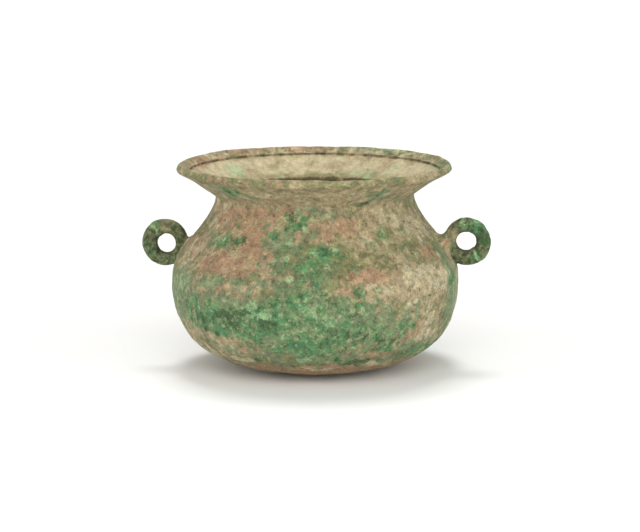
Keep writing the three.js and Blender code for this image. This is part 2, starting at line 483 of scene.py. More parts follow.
@dataclass(frozen=True)
class PatinaFinish:
    """Colours, gloss and grain of the corroded bronze."""

    bare: tuple = colour(188, 169, 131)
    pale: tuple = colour(206, 194, 156)
    umber: tuple = colour(80, 68, 38)
    verdigris: tuple = colour(98, 144, 88)
    mint_green: tuple = colour(172, 204, 152)
    ear_olive: tuple = colour(122, 132, 90)

    olive: Coat = Coat(
        colour(138, 138, 92), -0.8, 1.6, cloud=Cloud((5, 2, 1), 10 * MM, 4.0, 0.6)
    )
    tan: Coat = Coat(bare, 0.6, 2.6, 0.9, Cloud((7, 7, 4), 9 * MM, 4.0, 0.58))
    cuprite_and_shade: Coat = Coat(
        colour(185, 152, 118), 1.5, 2.6, cloud=Cloud((1, 7, 3), 8.5 * MM, 4.0, 0.58, 0.4)
    )
    rust: Coat = Coat(colour(160, 116, 84), 4.0, 6.0, 0.3)
    earth: Coat = Coat(pale, 1.5, 3.4, cloud=Cloud((9, 4, 6), 9 * MM, 4.0, 0.58, 0.3))
    wash: Coat = Coat(
        colour(116, 146, 104), 1.1, 3.1, 0.75, Cloud((2, 3, 8), 10 * MM, 4.0, 0.58)
    )
    blue_green: Coat = Coat(colour(84, 143, 96), 0.6, 2.2)
    light_green: Coat = Coat(mint_green, 0.8, 2.4, 0.8)
    deep_green: Coat = Coat(
        colour(58, 92, 52), 0.8, 2.4, 0.9, Cloud((2, 8, 5), 6.5 * MM, 4.0, 0.6, 0.3)
    )
    mint: Coat = Coat(mint_green, 1.2, 4.0, 0.7, Cloud((4, 1, 9), 4.5 * MM, 3.0, 0.7, 0.4))
    ear_dark: Coat = Coat(
        colour(66, 80, 50), -0.8, 1.2, cloud=Cloud((4, 4, 2), 4.5 * MM, 4.0, 0.66)
    )
    pits: Coat = Coat(umber, 0.9, 2.4, 0.6, Cloud((7, 5, 8), 3.8 * MM, 4.0, 0.7, 0.5))
    specks: Coat = Coat(pale, 1.1, 2.8, 0.55, Cloud((3, 9, 2), 4.2 * MM, 3.0, 0.7))
    # Painted shade in umber, laid where the painted-shade weight on the mesh says.
    painted_shade: Coat = Coat(umber, 0.2, 0.8, 0.85, Cloud((8, 8, 1), 8 * MM, 4.0, 0.65))
    painted_shade_swing: float = 0.14

    crust_cloud: Cloud = Cloud((0, 0, 0), 9 * MM, 5.0, 0.68, 0.3)
    crust_edge: tuple[float, float] = (-0.15, 0.8)
    crust_share: float = 0.86
    vein_cloud: Cloud = Cloud((6, 2, 4), 7 * MM, 3.0, 0.62, 0.5)
    vein_edge: tuple[float, float] = (0.3, 0.04)
    vein_share: float = 0.4
    mottle_cloud: Cloud = Cloud((1, 2, 3), 7 * MM, 3.0, 0.75)
    mottle_swing: float = 0.13
    grain_cloud: Cloud = Cloud((1, 2, 3), 3 * MM, 4.0, 0.8)
    grain_swing: float = 0.07
    calming: float = 0.55

    crust_roughness: float = 0.9
    metal_roughness: float = 0.68
    specular: float = 0.45
    bump_strength: float = 0.7
    bump_reach: float = 0.6 * MM

    def material(self) -> bpy.types.Material:
        """Build the patina's material.

        Returns:
            The finished material, which reads object coordinates and the weights on the mesh.
        """
        material = bpy.data.materials.new("patinated_bronze")
        material.use_nodes = True
        PatinaShader(self, material).wire()
        return material


class PatinaShader:
    """Wires the patina's material from object coordinates and the weights on the mesh."""

    def __init__(self, finish: PatinaFinish, material: bpy.types.Material) -> None:
        """Work on one material with one finish."""
        self.finish = finish
        self.wiring = Wiring(material.node_tree)
        self.surface = material.node_tree.nodes["Principled BSDF"]
        self.place = self.wiring.add("ShaderNodeTexCoord").outputs["Object"]
        self.calm = self.wiring.scaled(self.weight(CALM), -finish.calming, 1.0)

    def weight(self, name: str) -> Socket:
        """Read one of the weights kept on the mesh."""
        return self.wiring.add("ShaderNodeAttribute", attribute_name=name).outputs["Fac"]

    def clouds(self, cloud: Cloud) -> Socket:
        """Make a cloudy pattern, fainter on the smoother inside of the pot."""
        return self.wiring.times(self.wiring.clouds(self.place, cloud), self.calm)

    def spread(self, tone: Tone, cloud: Cloud) -> Socket:
        """Work out how thickly a tone lies: its patches, with a ragged edge."""
        return self.wiring.scaled(self.weight(tone.value), PATCH_LIFT, self.clouds(cloud))

    def layer(self, under: Value, coat: Coat, value: Value) -> Socket:
        """Lay a coat over a colour.

        Args:
            under: The colour underneath.
            coat: The coat to lay on it.
            value: What decides where the coat lies.

        Returns:
            The mixed colour.
        """
        cover = self.wiring.times(self.wiring.step(value, coat.start, coat.full), coat.share)
        return self.wiring.mix(cover, under, coat.shade)

    def toned(self, under: Value, coat: Coat, tone: Tone) -> Socket:
        """Lay a coat over a colour in the patches of one tone."""
        return self.layer(under, coat, self.spread(tone, coat.cloud))

    def wire(self) -> None:
        """Join colour, gloss and grain to the surface."""
        wiring, finish = self.wiring, self.finish
        verdigris = self.weight(Tone.VERDIGRIS.value)
        crust_value = crust_field(wiring, self.place, verdigris, finish.crust_cloud)
        crust = wiring.times(wiring.step(crust_value, *finish.crust_edge), finish.crust_share)

        shade = self.toned(self.ground(), finish.wash, Tone.HAZE)
        shade = wiring.mix(self.weight(EAR), shade, self.ear_colour())
        shade = wiring.mix(crust, shade, self.greens(crust_value))
        shade = self.toned(shade, finish.mint, Tone.MINT)
        shade = self.marks(shade, crust)

        mottle = self.clouds(finish.mottle_cloud)
        grain = self.clouds(finish.grain_cloud)
        light = wiring.plus(
            wiring.scaled(mottle, finish.mottle_swing, 1.0),
            wiring.times(grain, finish.grain_swing),
        )
        shade = wiring.add("ShaderNodeHueSaturation", {"Value": light, "Color": shade}).outputs[0]
        links, surface = wiring.tree.links, self.surface
        links.new(shade, surface.inputs["Base Color"])
        gloss = wiring.between(crust, finish.metal_roughness, finish.crust_roughness)
        links.new(gloss, surface.inputs["Roughness"])
        surface.inputs["Specular IOR Level"].default_value = finish.specular
        inputs = {
            "Height": wiring.plus(mottle, grain),
            "Strength": finish.bump_strength,
            "Distance": finish.bump_reach,
        }
        links.new(wiring.add("ShaderNodeBump", inputs).outputs[0], surface.inputs["Normal"])

    def ground(self) -> Socket:
        """Colour the metal between the green crusts: tan, olive, pinkish brown and earth.

        Returns:
            The mixed colour.
        """
        finish = self.finish
        shade = self.toned(finish.bare, finish.olive, Tone.OLIVE)
        shade = self.toned(shade, finish.tan, Tone.TAN)
        # Pinkish brown cuprite, and painted warm shade low round the bottom.
        pink = self.spread(Tone.CUPRITE_AND_SHADE, finish.cuprite_and_shade.cloud)
        shade = self.layer(shade, finish.cuprite_and_shade, pink)
        shade = self.layer(shade, finish.rust, pink)
        return self.toned(shade, finish.earth, Tone.EARTH)

    def greens(self, crust_value: Socket) -> Socket:
        """Colour the crust in its several greens, bluer where it is thickest.

        Args:
            crust_value: The value that grows towards the middle of a crust.

        Returns:
            The mixed colour.
        """
        finish = self.finish
        shade = self.layer(finish.verdigris, finish.blue_green, crust_value)
        depth = self.spread(Tone.DEEP, finish.deep_green.cloud)
        shade = self.layer(shade, finish.light_green, self.wiring.times(depth, -1.0))
        return self.layer(shade, finish.deep_green, depth)

    def ear_colour(self) -> Socket:
        """Colour the darker ring ears."""
        dark = self.finish.ear_dark
        return self.layer(self.finish.ear_olive, dark, self.clouds(dark.cloud))

    def marks(self, shade: Value, crust: Value) -> Socket:
        """Add the dark veins and pits, the pale specks and the painted shade over every colour.

        Args:
            shade: The colour so far.
            crust: How far a place is covered by green crust.

        Returns:
            The mixed colour.
        """
        wiring, finish = self.wiring, self.finish
        dark = wiring.mix(crust, finish.umber, finish.deep_green.shade)
        veins = wiring.math("ABSOLUTE", self.clouds(finish.vein_cloud))
        strength = wiring.times(self.calm, finish.vein_share)
        cover = wiring.times(wiring.step(veins, *finish.vein_edge), strength)
        shade = wiring.mix(cover, shade, dark)
        for coat in (finish.pits, finish.specks):
            shade = self.layer(shade, coat, self.clouds(coat.cloud))
        # Painted shade: the weight on the mesh, broken up by a cloud.
        patchy = wiring.clouds(self.place, finish.painted_shade.cloud)
        painted_shade = wiring.scaled(patchy, finish.painted_shade_swing, self.weight(PAINTED_SHADE))
        return self.layer(shade, finish.painted_shade, painted_shade)


@dataclass(frozen=True)
class PotOutline:
    """Outline of the pot, turned about its upright axis, in metres.

    The sizes of the belly, the mouth and the overall height are read from the frame.
    """

    belly_radius: float
    height: float
    foot_radius: float = 29 * MM
    foot_rise: float = math.radians(4)
    belly_height: float = 70 * MM
    shoulder: tuple[float, float] = (97.2 * MM, 97.3 * MM)
    shoulder_slope: float = math.radians(55)
    neck: tuple[float, float] = (75.8 * MM, 133.2 * MM)
    neck_fillet: float = 2.5 * MM
    fillet_points: int = 8
    bottom_pull: float = 55.5 * MM
    belly_pull: float = 46 * MM
    haunch_pull: float = 14 * MM
    shoulder_pull: float = 11.5 * MM
    flare: float = math.radians(35)
    mouth_radius: float = 105.5 * MM
    lip_underside: float = math.radians(28)
    lip_underside_radius: float = 94.5 * MM
    lip_corner_radius: float = 102 * MM
    lip_corner_rise: float = 2.3 * MM
    lip_face_height: float = 4.7 * MM
    lip_face_lean: float = 2.4 * MM
    lip_bulge_inset: float = 0.7 * MM
    band_radius: float = 95.5 * MM
    band_step: float = 1.5 * MM
    band_face: float = math.radians(39)
    groove_depth: float = 0.6 * MM
    wall: float = 2.4 * MM
    flare_wall: float = 3.2 * MM

    @staticmethod
    def bezier(ends: tuple, count: int = 64) -> Points:
        """Trace a cubic curve from its two ends and the two points between that pull it.

        Args:
            ends: The start, the two points that pull, and the end.
            count: How many points to give.

        Returns:
            Points from the start to the end.
        """
        start, pull_start, pull_end, end = (np.array(place) for place in ends)
        share = np.linspace(0.0, 1.0, count)[:, None]
        rest = 1.0 - share
        near = rest**3 * start + 3 * rest**2 * share * pull_start
        return near + 3 * rest * share**2 * pull_end + share**3 * end

    def outside(self) -> Points:
        """Trace the outside from the edge of the worn flat up to the start of the flare.

        Returns:
            The radius and height of each point.
        """
        uphill = np.array([-math.cos(self.shoulder_slope), math.sin(self.shoulder_slope)])
        shoulder = np.array(self.shoulder)
        foot = np.array([self.foot_radius, 0.0])
        rise = np.array([math.cos(self.foot_rise), math.sin(self.foot_rise)])
        belly = np.array([self.belly_radius, self.belly_height])
        neck = np.array(self.neck)
        up = np.array([0.0, 1.0])
        bottom = (foot, foot + rise * self.bottom_pull, belly - up * self.belly_pull, belly)
        haunch = (
            belly,
            belly + up * self.haunch_pull,
            shoulder - uphill * self.haunch_pull,
            shoulder,
        )
        slope = (
            shoulder,
            shoulder + uphill * self.shoulder_pull,
            neck - up * self.shoulder_pull,
            neck,
        )
        angle = np.linspace(math.pi, math.pi / 2 + self.flare, self.fillet_points)[1:]
        ring = np.column_stack([np.cos(angle), np.sin(angle)]) * self.neck_fillet
        fillet = neck + [self.neck_fillet, 0.0] + ring
        stretches = [self.bezier(ends) for ends in (bottom, haunch, slope)]
        return np.concatenate([stretches[0], stretches[1][1:], stretches[2][1:], fillet])

    def inside(self) -> Points:
        """Trace the inside one wall away from the outside, from the flat up to the flare.

        Returns:
            The radius and height of each point.
        """
        path = self.outside()
        tangent = np.gradient(path, axis=0)
        tangent /= np.linalg.norm(tangent, axis=1)[:, None]
        inward = np.column_stack([-tangent[:, 1], tangent[:, 0]])
        share = smooth_step(path[:, 1], self.neck[1], self.neck[1] + self.neck_fillet)
        wall = self.wall + (self.flare_wall - self.wall) * share
        return path + inward * wall[:, None]

    def lip(self, outside_end: Points, inside_end: Points) -> tuple[Points, Points]:
        """Trace the flare and the lip with its band.

        Args:
            outside_end: Where the flare starts on the outside.
            inside_end: Where it starts on the inside.

        Returns:
            The stretch from the outside of the flare over the lip, and the stretch from the foot
            of the band down the inside of the flare.
        """
        def on_line(start: Points, angle: float, radius: float) -> Points:
            """Find the place on a rising straight line at one radius."""
            return np.array([radius, start[1] + (radius - start[0]) * math.tan(angle)])

        underside = on_line(outside_end, self.flare, self.lip_underside_radius)
        corner = on_line(underside, self.lip_underside, self.lip_corner_radius)
        widest = np.array([self.mouth_radius, corner[1] + self.lip_corner_rise])
        inset = np.array([self.lip_bulge_inset, -self.lip_face_height / 2])
        top = np.array([self.mouth_radius - self.lip_face_lean, self.height])
        flare_end = on_line(inside_end, self.flare, self.band_radius)
        band_foot = flare_end + [0.0, self.band_step]
        groove = (flare_end + band_foot) / 2 + [self.groove_depth, 0.0]
        run = (top[1] - band_foot[1]) / math.tan(self.band_face)
        band_top = np.array([self.band_radius + run, top[1]])
        over = [outside_end, underside, corner, widest, widest - inset, top, band_top, band_foot]
        return np.array(over), np.array([band_foot, groove, flare_end, inside_end])


def resampled(path: Points, spacing: float) -> Points:
    """Place points along a path at even steps.

    Args:
        path: The path's corners.
        spacing: The length of one step, in the path's own units.

    Returns:
        Points from the path's start to its end.
    """
    run = np.concatenate([[0.0], np.cumsum(np.linalg.norm(np.diff(path, axis=0), axis=1))])
    places = np.linspace(0.0, run[-1], max(2, round(run[-1] / spacing) + 1))
    return np.column_stack([np.interp(places, run, path[:, axis]) for axis in (0, 1)])


def eased(path: Points, rounds: int) -> Points:
    """Round the corners of an evenly spaced path, with its ends kept.

    Args:
        path: The path's points.
        rounds: How often to round it.

    Returns:
        The rounded path.
    """
    path = path.copy()
    for _ in range(rounds):
        path[1:-1] = path[1:-1] / 2 + (path[:-2] + path[2:]) / 4
    return path


@dataclass
class PotBody:
    """The hollow body of the pot as a turned mesh."""

    outline: PotOutline
    segments: int = 360
    body_step: float = 1.8 * MM
    lip_step: float = 0.8 * MM
    flare_step: float = 1.1 * MM
    inside_step: float = 6.5 * MM
    foot_step: float = 5 * MM
    corner_rounds: int = 1
    inside_fine_step: float = 1.0 * MM
    inside_fine_reach: float = 18 * MM

    def rows(self) -> Points:
        """Trace the whole outline once round, from the middle of the foot to the inside's.

        Returns:
            The radius and height of each row.
        """
        outside = self.outline.outside()
        inside = self.outline.inside()
        over, flare = self.outline.lip(outside[-1], inside[-1])
        down = resampled(inside[::-1], self.inside_fine_step)
        turn = round(self.inside_fine_reach / self.inside_fine_step)
        throat, belly = down[: turn + 1], down[turn:]
        foot = np.array([[0.0, 0.0], outside[0]])
        floor = np.array([inside[0], [0.0, inside[0][1]]])
        lip = eased(resampled(over, self.lip_step), self.corner_rounds)
        stretches = [
            resampled(foot, self.foot_step),
            resampled(outside, self.body_step),
            lip,
            resampled(flare[:3], self.lip_step),
            resampled(flare[2:], self.flare_step),
            resampled(throat, self.inside_fine_step),
            resampled(belly, self.inside_step),
        ]
        rows = [stretch[:-1] for stretch in stretches]
        return np.concatenate([*rows, resampled(floor, self.foot_step)])

    def build(self) -> bpy.types.Object:
        """Turn the outline into a closed mesh.

        Returns:
            The body as an object of its own.
        """
        rows = self.rows()
        ring_rows, count = rows[1:-1], self.segments
        angle = np.arange(count) * (2 * math.pi / count)
        circle = np.column_stack([np.cos(angle), np.sin(angle)])
        rings = np.empty((len(ring_rows), count, 3))
        rings[:, :, :2] = circle[None] * ring_rows[:, 0][:, None, None]
        rings[:, :, 2] = ring_rows[:, 1][:, None]
        poles = np.array([[0, 0, rows[0, 1]], [0, 0, rows[-1, 1]]])
        points = np.concatenate([poles[:1], rings.reshape(-1, 3), poles[1:]])

        here = np.arange(count)
        there = (here + 1) % count
        low = 1 + np.arange(len(ring_rows) - 1)[:, None] * count
        high = low + count
        quads = np.stack([low + here, low + there, high + there, high + here], -1).reshape(-1, 4)
        last = 1 + (len(ring_rows) - 1) * count
        faces = [(0, 1 + b, 1 + a) for a, b in zip(here, there)]
        faces += [tuple(quad) for quad in quads.tolist()]
        faces += [(len(points) - 1, last + a, last + b) for a, b in zip(here, there)]
        mesh = bpy.data.meshes.new("pot_body")
        mesh.from_pydata(points.tolist(), [], faces)
        return placed("pot_body", mesh)


def store(mesh: bpy.types.Mesh, name: str, values: np.ndarray) -> None:
    """Keep one number on each vertex of a mesh, under a name."""
    attribute = mesh.attributes.get(name) or mesh.attributes.new(name, "FLOAT", "POINT")
    attribute.data.foreach_set("value", values.astype(np.float32))


def places_of(mesh: bpy.types.Mesh) -> Points:
    """Read where the vertices of a mesh are.

    Args:
        mesh: The mesh to read.

    Returns:
        One place for each vertex.
    """
    values = np.zeros(len(mesh.vertices) * 3, np.float32)
    mesh.vertices.foreach_get("co", values)
    return values.reshape(-1, 3).astype(float)


def placed(name: str, mesh: bpy.types.Mesh) -> bpy.types.Object:
    """Put a mesh in the scene as an object at the origin.

    Args:
        name: The object's name.
        mesh: Its mesh.

    Returns:
        The new object.
    """
    item = bpy.data.objects.new(name, mesh)
    bpy.context.scene.collection.objects.link(item)
    return item


def finished(item: bpy.types.Object) -> bpy.types.Object:
    """Turn an object with its modifiers into a plain mesh, and drop the modifiers.

    Args:
        item: The object to change.

    Returns:
        The same object.
    """
    graph = bpy.context.evaluated_depsgraph_get()
    mesh = bpy.data.meshes.new_from_object(item.evaluated_get(graph), depsgraph=graph)
    item.modifiers.clear()
    item.data = mesh
    return item


@dataclass(frozen=True)
class EarSpot:
    """A spot of another tone on a ring ear, placed by its angle up from the outward side."""

    angle: float
    spread: float
    strength: float


@dataclass
class RingEar:
    """One ring ear, cast onto the shoulder in the upright plane through the pot's axis."""

    side: int
    height: float
    reach: float
    hole: tuple[float, float]
    hole_shift: tuple[float, float]
    spots: dict[Tone, tuple[EarSpot, ...]]
    worn: tuple[EarSpot, ...]
    root: float
    pad_rise: float
    fillet: float
    outer: tuple[float, float] = (18 * MM, 18.3 * MM)
    pad: tuple[float, float, float] = (11 * MM, 7 * MM, 2.2 * MM)
    thickness: float = 8.4 * MM
    steps: int = 96
    section_steps: int = 28
    flatness: float = 2.6
    skin: tuple[float, float] = (0.8 * MM, 1.8 * MM)
    root_blend: float = 2 * MM
    # How far out from the wall of the hole the painted shade reaches.
    hole_shade_reach: tuple[float, float] = (0.3 * MM, 2.2 * MM)

    def edges(self, angle: np.ndarray) -> tuple[np.ndarray, np.ndarray]:
        """Tell how far the hole's edge and the outer edge lie from the ring's middle.

        Args:
            angle: Angles up from the outward side, in radians.

        Returns:
            Both distances at each angle.
        """
        across, up = np.cos(angle), np.sin(angle)
        hole = 1.0 / np.hypot(across / self.hole[0], up / self.hole[1])
        hole = hole + across * self.hole_shift[0] + up * self.hole_shift[1]
        return hole, 1.0 / np.hypot(across / self.outer[0], up / self.outer[1])

    def build(self) -> bpy.types.Object:
        """Sweep an oval section round the ring.

        Returns:
            The ear as an object of its own.
        """
        round_ring = np.arange(self.steps) * (2 * math.pi / self.steps)
        section = np.arange(self.section_steps) * (2 * math.pi / self.section_steps)
        swell = 2.0 / self.flatness
        across = np.sign(np.cos(section)) * np.abs(np.cos(section)) ** swell
        through = np.sign(np.sin(section)) * np.abs(np.sin(section)) ** swell
        hole, rim = self.edges(round_ring)
        radius = (rim + hole)[:, None] / 2 + (rim - hole)[:, None] / 2 * across[None]
        points = np.empty((self.steps, self.section_steps, 3))
        points[..., 0] = self.side * (self.reach + radius * np.cos(round_ring)[:, None])
        points[..., 1] = through[None] * self.thickness / 2
        points[..., 2] = self.height + radius * np.sin(round_ring)[:, None]
        ring = np.arange(self.steps)[:, None]
        spot = np.arange(self.section_steps)[None]
        next_ring, next_spot = (ring + 1) % self.steps, (spot + 1) % self.section_steps
        row = self.section_steps
        corners = [(ring, spot), (next_ring, spot), (next_ring, next_spot), (ring, next_spot)]
        quads = np.stack([a * row + b for a, b in corners], -1).reshape(-1, 4)
        mesh = bpy.data.meshes.new("ring_ear")
        mesh.from_pydata(points.reshape(-1, 3).tolist(), [], quads.tolist())
        if signed_volume(mesh) < 0:
            mesh.flip_normals()
        return placed("ring_ear", mesh)

    def polar(self, points: Points) -> tuple[np.ndarray, np.ndarray]:
        """Give each place's angle up from the outward side and its distance from the middle.

        Args:
            points: The places to measure.

        Returns:
            The angles in radians, and the distances.
        """
        outward = self.side * points[:, 0] - self.reach
        up = points[:, 2] - self.height
        return np.arctan2(up, outward), np.hypot(outward, up)

    def clearance(self, points: Points) -> np.ndarray:
        """Measure about how far each place is from the ring, less than 0 inside its metal.

        Args:
            points: The places to measure from.

        Returns:
            The distance from each place.
        """
        angle, away = self.polar(points)
        hole, rim = self.edges(angle)
        half = (rim - hole) / 2
        across = (away - (rim + hole) / 2) / half
        through = points[:, 1] / (self.thickness / 2)
        form = (np.abs(across) ** self.flatness + np.abs(through) ** self.flatness)
        return (form ** (1 / self.flatness) - 1.0) * np.minimum(half, self.thickness / 2)

    def pad_clearance(self, points: Points, outline: PotOutline) -> np.ndarray:
        """Measure about how far each place is from the low pad that the ear is cast onto.

        Args:
            points: The places to measure from.
            outline: The pot's outline, which gives the slope that the pad lies on.

        Returns:
            The distance from each place, less than 0 within the pad.
        """
        slope = outline.shoulder_slope
        height = self.height + self.pad_rise
        radius = outline.shoulder[0] - (height - outline.shoulder[1]) / math.tan(slope)
        outward = self.side * points[:, 0] - radius
        up = points[:, 2] - height
        uphill = up * math.sin(slope) - outward * math.cos(slope)
        off = up * math.cos(slope) + outward * math.sin(slope)
        place = np.column_stack([uphill, points[:, 1], off])
        size = np.array(self.pad)
        reach = np.linalg.norm(place / size, axis=1)
        steep = np.maximum(np.linalg.norm(place / size**2, axis=1), 1.0)
        return reach * (reach - 1.0) / steep

    def share(self, points: Points) -> np.ndarray:
        """Weigh how far each place belongs to the ear, 1 on the ring and 0 on the pot.

        Args:
            points: The places to weigh.

        Returns:
            One weight for each place.
        """
        beyond = np.hypot(points[:, 0], points[:, 1])
        near = 1.0 - smooth_step(self.clearance(points), *self.skin)
        blend = self.root_blend
        return near * smooth_step(beyond, self.root - blend, self.root + blend)

    def spotted(self, points: Points, spots: tuple[EarSpot, ...]) -> np.ndarray:
        """Weigh places by the spots that they lie in.

        Args:
            points: The places to weigh.
            spots: The spots on this ear.

        Returns:
            One weight for each place.
        """
        angle, _ = self.polar(points)
        total = np.zeros(len(points))
        for spot in spots:
            apart = (np.degrees(angle) - spot.angle + 180.0) % 360.0 - 180.0
            total = np.maximum(total, spot.strength * np.exp(-((apart / spot.spread) ** 2)))
        return total

    def hole_shade(self, points: Points) -> np.ndarray:
        """Weigh the painted shade round the wall of the hole."""
        angle, away = self.polar(points)
        return 1.0 - smooth_step(away - self.edges(angle)[0], *self.hole_shade_reach)


def signed_volume(mesh: bpy.types.Mesh) -> float:
    """Measure a closed mesh's volume, negative when its faces point inwards.

    Args:
        mesh: The mesh to measure.

    Returns:
        The volume in cubic metres.
    """
    mesh.calc_loop_triangles()
    index = np.zeros(len(mesh.loop_triangles) * 3, np.int32)
    mesh.loop_triangles.foreach_get("vertices", index)
    corners = places_of(mesh)[index.reshape(-1, 3)]
    across = np.cross(corners[:, 1], corners[:, 2])
    return float(np.einsum("ij,ij->i", corners[:, 0], across).sum()) / 6.0


@dataclass
class Relief:
    """The uneven surface of the corroded metal, pushed in and out along its normals."""

    dent: float = 0.28 * MM
    lump: float = 0.09 * MM
    crust: float = 0.35 * MM
    pit: float = 0.3 * MM
    foot_keep: float = 5 * MM
    dent_cloud: Cloud = Cloud((0, 0, 0), 48 * MM, 2.0)
    lump_cloud: Cloud = Cloud((4, 6, 1), 11 * MM, 3.0, 0.55)
    crust_cloud: Cloud = Cloud((0, 0, 0), 9 * MM, 2.0, 0.68, 0.3)
    crust_edge: tuple[float, float] = (-0.6, 1.6)
    pit_cloud: Cloud = Cloud((7, 5, 8), 3.8 * MM, 1.0, 0.5, 0.5)
    pit_edge: tuple[float, float] = (0.9, 2.6)

    def tree(self, material: bpy.types.Material) -> bpy.types.NodeTree:
        """Build the geometry tree that raises the relief.

        Args:
            material: The finish to put on the result.

        Returns:
            The tree, with its sizes as named inputs.
        """
        tree = bpy.data.node_groups.new("corroded_relief", "GeometryNodeTree")
        panel = tree.interface
        panel.new_socket("Geometry", in_out="INPUT", socket_type="NodeSocketGeometry")
        for name in ("Dent", "Lump", "Crust", "Pit", "Foot Keep"):
            panel.new_socket(name, in_out="INPUT", socket_type="NodeSocketFloat")
        panel.new_socket("Geometry", in_out="OUTPUT", socket_type="NodeSocketGeometry")
        wiring = Wiring(tree)
        given = wiring.add("NodeGroupInput").outputs
        place = wiring.add("GeometryNodeInputPosition").outputs[0]
        verdigris = self._weight(wiring, Tone.VERDIGRIS.value)

        dents = wiring.clouds(place, self.dent_cloud)
        lumps = wiring.clouds(place, self.lump_cloud)
        crust = crust_field(wiring, place, verdigris, self.crust_cloud)
        crust = wiring.step(crust, *self.crust_edge)
        pits = wiring.step(wiring.clouds(place, self.pit_cloud), *self.pit_edge)
        height = wiring.plus(
            wiring.times(dents, given["Dent"]),
            wiring.times(lumps, given["Lump"]),
            wiring.times(crust, given["Crust"]),
            wiring.times(wiring.times(pits, given["Pit"]), -1.0),
        )
        level = wiring.add("ShaderNodeSeparateXYZ", {0: place}).outputs["Z"]
        inputs = {"Value": level, "From Min": 0.0, "From Max": given["Foot Keep"]}
        free = wiring.add("ShaderNodeMapRange", inputs, interpolation_type="SMOOTHSTEP")
        height = wiring.times(height, free.outputs["Result"])
        normal = wiring.add("GeometryNodeInputNormal").outputs[0]
        push = wiring.add("ShaderNodeVectorMath", {0: normal, "Scale": height}, operation="SCALE")
        moved = wiring.add(
            "GeometryNodeSetPosition", {"Geometry": given["Geometry"], "Offset": push.outputs[0]}
        )
        smooth = wiring.add("GeometryNodeSetShadeSmooth", {0: moved.outputs[0]})
        real = wiring.add("GeometryNodeRealizeInstances", {0: smooth.outputs[0]})
        dressed = wiring.add("GeometryNodeSetMaterial", {0: real.outputs[0], "Material": material})
        wiring.add("NodeGroupOutput", {0: dressed.outputs[0]})
        return tree

    def _weight(self, wiring: Wiring, name: str) -> Socket:
        """Read one of the numbers kept on the mesh."""
        node = wiring.add("GeometryNodeInputNamedAttribute", {"Name": name}, data_type="FLOAT")
        return node.outputs["Attribute"]

    def raise_on(self, item: bpy.types.Object, material: bpy.types.Material) -> None:
        """Push the relief out of an object's surface and make the result a plain mesh.

        Args:
            item: The object to change.
            material: The finish to put on it.
        """
        modifier = item.modifiers.new("relief", "NODES")
        modifier.node_group = self.tree(material)
        sizes = {
            "Dent": self.dent,
            "Lump": self.lump,
            "Crust": self.crust,
            "Pit": self.pit,
            "Foot Keep": self.foot_keep,
        }
        set_inputs(modifier, sizes)
        finished(item)


def evened(points: Points, ends: np.ndarray) -> Points:
    """Move places halfway to the middle of their neighbours.

    Args:
        points: The places of a mesh's vertices.
        ends: The two vertices of each edge to go by.

    Returns:
        The moved places.
    """
    count = np.bincount(ends.ravel(), minlength=len(points))
    total = np.zeros_like(points)
    for here, there in (ends.T, ends.T[::-1]):
        for axis in range(3):
            total[:, axis] += np.bincount(here, points[there, axis], len(points))
    middle = total / np.maximum(count, 1)[:, None]
    return (points + middle) / 2


def set_inputs(modifier: bpy.types.Modifier, values: dict[str, float]) -> None:
    """Give a geometry tree's named inputs their values, by each socket's identifier.

    Args:
        modifier: The modifier that runs the tree.
        values: The value for each named input.
    """
    for socket in modifier.node_group.interface.items_tree:
        if socket.in_out == "INPUT" and socket.name in values:
            modifier[socket.identifier] = values[socket.name]


@dataclass(frozen=True)
class PaintedShade:
    """How thick the painted shade lies, and between which distances it fades away."""

    # Painted shade: in the groove, down the throat and over the inside, round the wall of each
    # ear's hole, and in the corner above each ear's root.
    groove: float = 0.55
    groove_fade: tuple[float, float] = (0.5 * MM, 2.0 * MM)
    belly: float = 0.3
    throat: float = 0.5
    throat_depths: tuple[float, float] = (-16 * MM, -3 * MM)
    throat_fade: tuple[float, float] = (0.5 * MM, 1.9 * MM)
    ear_hole: float = 0.65
    ear_corner: float = 0.5
    corner_heights: tuple[float, float] = (2 * MM, 6 * MM)
    corner_fade: tuple[float, float] = (0.5 * MM, 3 * MM)


